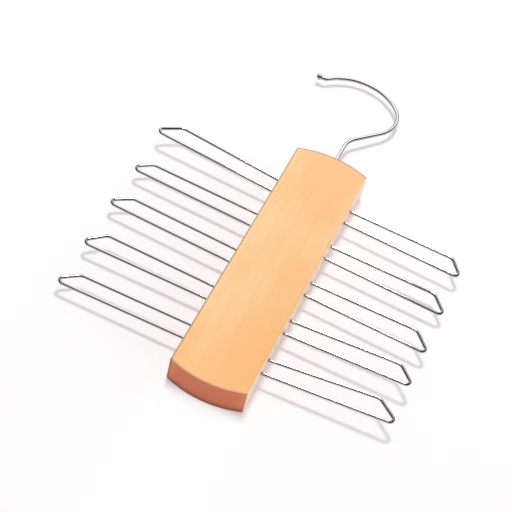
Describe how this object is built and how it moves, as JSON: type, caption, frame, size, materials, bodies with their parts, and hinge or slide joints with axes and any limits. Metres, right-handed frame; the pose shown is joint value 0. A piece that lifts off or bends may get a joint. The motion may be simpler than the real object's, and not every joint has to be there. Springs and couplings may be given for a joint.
{
  "type": "tie hanger",
  "caption": "Tie hanger with a flat wooden board, bent wire loops standing out of both long edges and a wire hook that swivels in its top end.",
  "frame": {"origin": "middle of the board's flat back face, on which the hanger lies", "axes": "+X along the right-hand loops, +Y along the board toward the hook, +Z out of the front face"},
  "size_m": [0.218, 0.2981, 0.021],
  "materials": {
    "wood": "clear satin lacquer on pale maple or beech",
    "chrome": "polished chrome plating on steel wire",
    "steel": "turned, bare"
  },
  "bodies": {
    "board": {"wooden_board": "wood", "loop_left_1": "chrome", "loop_left_2": "chrome", "loop_left_3": "chrome", "loop_left_4": "chrome", "loop_left_5": "chrome", "loop_right_1": "chrome", "loop_right_2": "chrome", "loop_right_3": "chrome", "loop_right_4": "chrome", "loop_right_5": "chrome", "swivel_sleeve": "steel"},
    "hook": {"hook": "chrome"}
  },
  "joints": [
    {"name": "hook_swivel", "type": "hinge", "parent": "board", "child": "hook", "pos_m": [0, 0.103, 0.0105], "axis": [0, 1, 0], "continuous": true}
  ]
}
